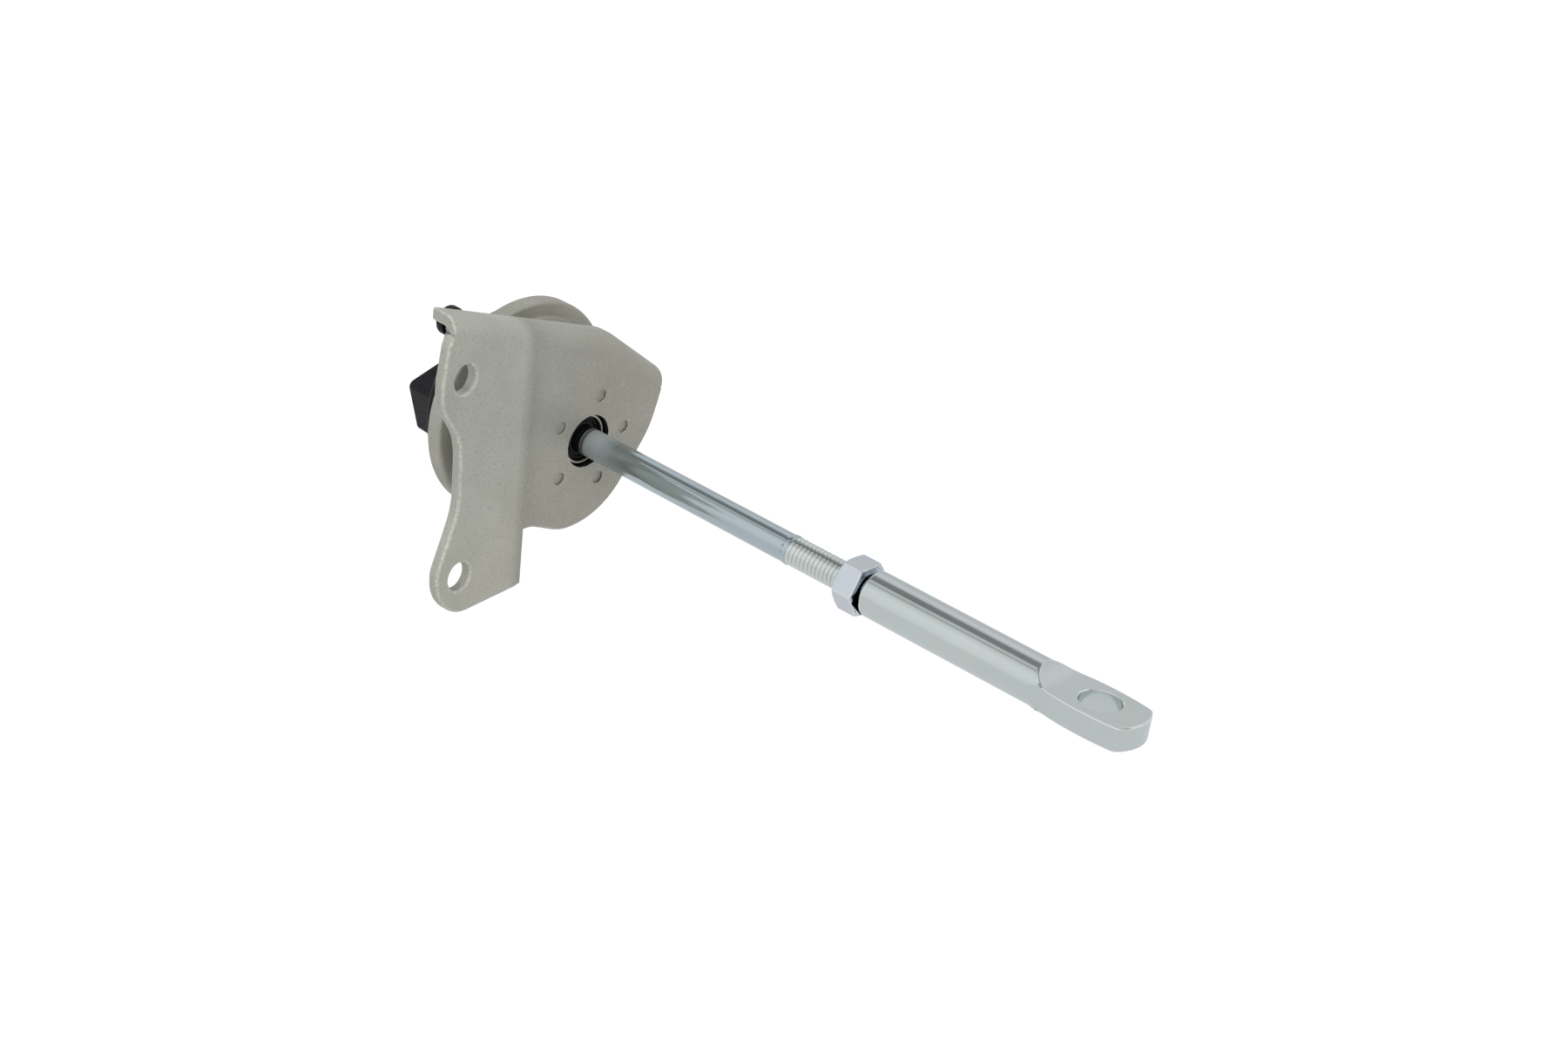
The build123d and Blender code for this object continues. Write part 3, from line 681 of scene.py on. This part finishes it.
def plainMesh(thing, name):
    # evaluate the modifiers and keep the result as a plain mesh
    graph = bpy.context.evaluated_depsgraph_get()
    mesh = bpy.data.meshes.new_from_object(thing.evaluated_get(graph))
    bpy.data.objects.remove(thing)
    made = bpy.data.objects.new(name, mesh)
    bpy.context.scene.collection.objects.link(made)
    return made


roundingSettings = {
    "merge": 2e-6,  # vertices this close, in metres, become one
    "flat": math.radians(0.4),  # faces that meet flatter than this become one
    "sharp": math.radians(34),  # edges sharper than this are rounded
    "segments": 3,
    "keepReach": 0.0009,  # metres round a kept point in which rims stay sharp
    "share": 0.3,  # share of the radius that a vertex may leave the surface by
    "slack": 0.05,  # mm added to that
    "weld": 1e-7,
    "tries": 7,
}

# radius of the rounded rims on each rigid piece, in millimetres
rimRounding = {
    "front_shell": 0.12, "guide_bush": 0.12, "locknut": 0.14, "adjuster_sleeve": 0.28,
    "rear_housing": 0.18, "terminal_insert": 0.1, "spring_seat": 0.08, "rod_washer": 0.08,
    "piston_cup": 0.08, "backing_plate": 0.08, "magnet_holder": 0.1, "magnet": 0.12,
}


def mergedCopy(nodeName):
    mesh = nodes[nodeName].data.copy()
    work = bmesh.new()
    work.from_mesh(mesh)
    bmesh.ops.remove_doubles(work, verts=work.verts, dist=roundingSettings["merge"])
    flat = roundingSettings["flat"]
    bmesh.ops.dissolve_limit(work, angle_limit=flat, verts=work.verts, edges=work.edges)
    return mesh, work


def bevelled(nodeName, radius, weightOf, ownRims, kept):
    # one try at rounding; rims near the kept points stay sharp
    mesh, work = mergedCopy(nodeName)
    layer = work.edges.layers.float.new("bevel_weight_edge")
    for edge in work.edges:
        if len(edge.link_faces) != 2 or edge.calc_face_angle(0) < roundingSettings["sharp"]:
            continue
        middle = (edge.verts[0].co + edge.verts[1].co) / 2
        if any((middle - point).length < roundingSettings["keepReach"] for point in kept):
            continue
        edge[layer] = weightOf(edge, middle) if weightOf else 1.0
    for face in work.faces:
        face.smooth = True
    work.to_mesh(mesh)
    work.free()
    piece = bpy.data.objects.new(nodeName + "_rounded", mesh)
    bpy.context.scene.collection.objects.link(piece)
    bevel = piece.modifiers.new("rims", "BEVEL")
    bevel.limit_method = "WEIGHT"
    bevel.width = radius * mm
    bevel.segments = roundingSettings["segments"]
    bevel.use_clamp_overlap = False
    piece.data.materials.clear()
    # the bevel's faces get a second slot, for a material with a painted highlight
    if ownRims:
        piece.data.materials.append(rimHighlightPaint)
        piece.data.materials.append(rimHighlightPaint)
        bevel.material = 1
    even = piece.modifiers.new("evenShading", "WEIGHTED_NORMAL")
    even.keep_sharp = True
    return plainMesh(piece, nodeName + "_piece")


def strayPoints(made, surface, limit):
    # where a rim was rounded badly: beside vertices that left the surface, and where two rims
    # ran together
    work = bmesh.new()
    work.from_mesh(made.data)
    bmesh.ops.remove_doubles(work, verts=work.verts, dist=roundingSettings["weld"])
    points = [edge.verts[0].co.copy() for edge in work.edges if len(edge.link_faces) != 2]
    for vertex in work.verts:
        if surface.find_nearest(vertex.co)[3] <= limit:
            continue
        for edge in vertex.link_edges:
            other = edge.other_vert(vertex)
            if surface.find_nearest(other.co)[3] <= limit:
                points.append(other.co.copy())
    work.free()
    return points


def roundedCopy(nodeName, radius, weightOf=None, ownRims=False):
    # rounded rims on a copy of a rigid node's mesh
    work = bmesh.new()
    work.from_mesh(nodes[nodeName].data)
    surface = BVHTree.FromBMesh(work)
    work.free()
    limit = (roundingSettings["share"] * radius + roundingSettings["slack"]) * mm
    kept = []
    for attempt in range(roundingSettings["tries"]):
        made = bevelled(nodeName, radius, weightOf, ownRims, kept)
        stray = strayPoints(made, surface, limit)
        if not stray:
            return made
        kept += stray
        if attempt < roundingSettings["tries"] - 1:
            bpy.data.objects.remove(made)
    print(nodeName, "keeps", len(stray), "stray points")
    return made


def lathe(name, profile, segments, smoothAngle):
    # profile of (x in millimetres from the bracket's face, radius in millimetres)
    points = []
    faces = []
    rings = []
    for x, radius in profile:
        if radius < 1e-6:
            rings.append([len(points)])
            points.append((alongRod(x), rodAxis["y"], rodAxis["z"]))
            continue
        ring = []
        for k in range(segments):
            turn = 2 * math.pi * k / segments
            ring.append(len(points))
            points.append((
                alongRod(x),
                rodAxis["y"] + radius * mm * math.cos(turn),
                rodAxis["z"] + radius * mm * math.sin(turn),
            ))
        rings.append(ring)
    for first, second in zip(rings, rings[1:]):
        for k in range(segments):
            n = (k + 1) % segments
            corners = [first[k % len(first)], first[n % len(first)]]
            corners += [second[n % len(second)], second[k % len(second)]]
            corners = list(dict.fromkeys(corners))  # a ring of one point gives a triangle
            if len(corners) > 2:
                faces.append(corners)
    mesh = bpy.data.meshes.new(name)
    mesh.from_pydata(points, [], faces)
    work = bmesh.new()
    work.from_mesh(mesh)
    bmesh.ops.recalc_face_normals(work, faces=work.faces)
    work.to_mesh(mesh)
    work.free()
    made = bpy.data.objects.new(name, mesh)
    bpy.context.scene.collection.objects.link(made)
    smoothByAngle(mesh, smoothAngle)
    return made


# Bracket

bracketSettings = {
    "rim": 0.55,  # radius of the cut rims, mm
    "smallRim": 0.16,  # weight of the rims round holes and dimples
    "foldFacing": 0.5,  # edges between two faces that look this far along X belong to a fold
    "dimpleReach": 12.0,  # mm from the rod's axis inside which edges get the small rim
}


def bracketWeight(edge, middle):
    if all(abs(face.normal.x) > bracketSettings["foldFacing"] for face in edge.link_faces):
        return 0.0
    reach = math.hypot(middle.y - rodAxis["y"], middle.z - rodAxis["z"]) / mm
    return bracketSettings["smallRim"] if reach < bracketSettings["dimpleReach"] else 1.0


bracket = roundedCopy("bracket", bracketSettings["rim"], bracketWeight, ownRims=True)
finishPiece(bracket, "silver_paint", bodyOf("bracket"), "bracket", rimLook=rimHighlightPaint)
print("bracket ready", len(bracket.data.polygons), "faces")


# Push rod with its rolled thread

rodSettings = {  # in millimetres
    "radius": 3.0,
    "threadStart": 56.6,
    "threadEnd": 102.0,
    "rootRadius": 2.46,
    # the riveted end behind the plates and the neck in front of it: (x, radius)
    "riveted": [
        (-14.9, 0), (-14.9, 2.6), (-14.6, 3.2), (-14.2, 3.5), (-13.5, 3.5), (-13.5, 2.3), (-10.2, 2.3),
        (-10.2, 2.8), (-10.0, 3.0),
    ],
    # the swollen end of the rolled thread: (x after its start, radius past the rod's)
    "swelling": [(-0.9, 0), (-0.55, 0.02), (-0.2, 0.12), (0.3, 0.14), (0.55, 0.06), (0.8, -0.25)],
    "rootFrom": 1.0,  # x after the thread's start where its root begins
    "tipChamfer": (1.0, 0.7),  # length, depth
    "segments": 128,
    "smoothAngle": 32,
}


def makeRodShank():
    start = rodSettings["threadStart"]
    end = rodSettings["threadEnd"]
    root = rodSettings["rootRadius"]
    length, depth = rodSettings["tipChamfer"]
    profile = list(rodSettings["riveted"])
    profile += [(start + x, rodSettings["radius"] + rise) for x, rise in rodSettings["swelling"]]
    profile += [(start + rodSettings["rootFrom"], root), (end - length, root)]
    profile += [(end, root - depth), (end, 0)]
    return lathe("rod_shank", profile, rodSettings["segments"], rodSettings["smoothAngle"])


threadSettings = {
    "startAfter": 0.6,  # mm from the start of the rolled length
    "stopBefore": 0.8,  # mm short of the rod's end
    "pitch": 1.0,
    "crestHeight": 0.56,
    "stepsPerTurn": 48,
    "ridgeCorners": 6,
    "smoothAngle": 50,
}


def makeThreadTree():
    # a small ridge swept along a helix, sizes given as inputs
    tree = bpy.data.node_groups.new("threadTurns", "GeometryNodeTree")
    face = tree.interface
    sizes = {}
    for label in ("Length", "Pitch", "Root Radius", "Crest Height"):
        socket = face.new_socket(label, in_out="INPUT", socket_type="NodeSocketFloat")
        socket.default_value = mm
        sizes[label] = socket.identifier
    colour = face.new_socket("Finish", in_out="INPUT", socket_type="NodeSocketMaterial")
    sizes["Finish"] = colour.identifier
    face.new_socket("Geometry", in_out="OUTPUT", socket_type="NodeSocketGeometry")
    add = tree.nodes.new
    link = tree.links.new
    given = add("NodeGroupInput")
    result = add("NodeGroupOutput")
    turns = add("ShaderNodeMath")
    turns.operation = "DIVIDE"
    link(given.outputs["Length"], turns.inputs[0])
    link(given.outputs["Pitch"], turns.inputs[1])
    helix = add("GeometryNodeCurveSpiral")
    helix.inputs["Resolution"].default_value = threadSettings["stepsPerTurn"]
    link(turns.outputs[0], helix.inputs["Rotations"])
    link(given.outputs["Root Radius"], helix.inputs["Start Radius"])
    link(given.outputs["Root Radius"], helix.inputs["End Radius"])
    link(given.outputs["Length"], helix.inputs["Height"])
    ridge = add("GeometryNodeCurvePrimitiveCircle")  # few corners, so that the crest stays crisp
    ridge.mode = "RADIUS"
    ridge.inputs["Resolution"].default_value = threadSettings["ridgeCorners"]
    link(given.outputs["Crest Height"], ridge.inputs["Radius"])
    upright = add("GeometryNodeSetCurveNormal")
    upright.mode = "Z_UP"
    link(helix.outputs["Curve"], upright.inputs["Curve"])
    sweep = add("GeometryNodeCurveToMesh")
    link(upright.outputs[0], sweep.inputs["Curve"])
    link(ridge.outputs["Curve"], sweep.inputs["Profile Curve"])
    sweep.inputs["Fill Caps"].default_value = True
    turn = add("GeometryNodeTransform")
    turn.inputs["Rotation"].default_value = (0, math.radians(90), 0)
    link(sweep.outputs[0], turn.inputs["Geometry"])
    real = add("GeometryNodeRealizeInstances")
    link(turn.outputs[0], real.inputs[0])
    cover = add("GeometryNodeSetMaterial")
    link(real.outputs[0], cover.inputs["Geometry"])
    link(given.outputs["Finish"], cover.inputs["Material"])
    link(cover.outputs[0], result.inputs[0])
    return tree, sizes


def makeThread():
    start = rodSettings["threadStart"] + threadSettings["startAfter"]
    end = rodSettings["threadEnd"] - threadSettings["stopBefore"]
    tree, sizes = makeThreadTree()
    base = bpy.data.objects.new("threadBase", bpy.data.meshes.new("threadBase"))
    bpy.context.scene.collection.objects.link(base)
    turns = base.modifiers.new("turns", "NODES")
    turns.node_group = tree
    turns[sizes["Length"]] = (end - start) * mm
    turns[sizes["Pitch"]] = threadSettings["pitch"] * mm
    turns[sizes["Root Radius"]] = rodSettings["rootRadius"] * mm
    turns[sizes["Crest Height"]] = threadSettings["crestHeight"] * mm
    turns[sizes["Finish"]] = finishes["zinc_plate"]
    made = plainMesh(base, "rod_thread")
    made.data.transform(Matrix.Translation((alongRod(start), rodAxis["y"], rodAxis["z"])))
    smoothByAngle(made.data, threadSettings["smoothAngle"])
    return made


finishPiece(makeRodShank(), "zinc_plate", "push_rod", "rod", look=rodFinish)
thread = finishPiece(makeThread(), "zinc_plate", "push_rod", look=threadFinish)
print("rod ready", len(thread.data.polygons), "thread faces")


# The other rigid pieces

# where a piece looks different from its slot, and where its rims carry a painted highlight
looks = {"locknut": nutFinish, "guide_bush": finishes["black_rubber"]}
rimLooks = {"locknut": zincRimHighlight, "adjuster_sleeve": zincRimHighlight, "front_shell": rimHighlightPaint}
for nodeName, radius in rimRounding.items():
    look = looks.get(nodeName)
    rimLook = rimLooks.get(nodeName)
    piece = roundedCopy(nodeName, radius, ownRims=bool(rimLook))
    finishPiece(piece, slotOf[nodeName], bodyOf(nodeName), nodeName, look=look, rimLook=rimLook)
print("rigid pieces ready")


# The spring and the diaphragm sit between the push rod and the can; here they are plain copies of their
# nodes with their finish


def stretched(nodeName):
    piece = bpy.data.objects.new(nodeName + "_piece", nodes[nodeName].data.copy())
    bpy.context.scene.collection.objects.link(piece)
    piece.data.materials.clear()
    piece.data.materials.append(finishes[slotOf[nodeName]])
    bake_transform(piece)
    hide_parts(nodeName)


stretched("return_spring")
stretched("diaphragm")
print("soft pieces ready")


# Nodes that stay as they are get their finish alone

for nodeName, node in nodes.items():
    if nodeName in rimRounding or nodeName in ("bracket", "rod", "return_spring", "diaphragm"):
        continue
    # the garter ring gets the near-black steel of its painted shade
    surface = garterFinish if nodeName == "garter_ring" else finishes[slotOf[nodeName]]
    node.data.materials.clear()
    node.data.materials.append(surface)
print("kept pieces finished")
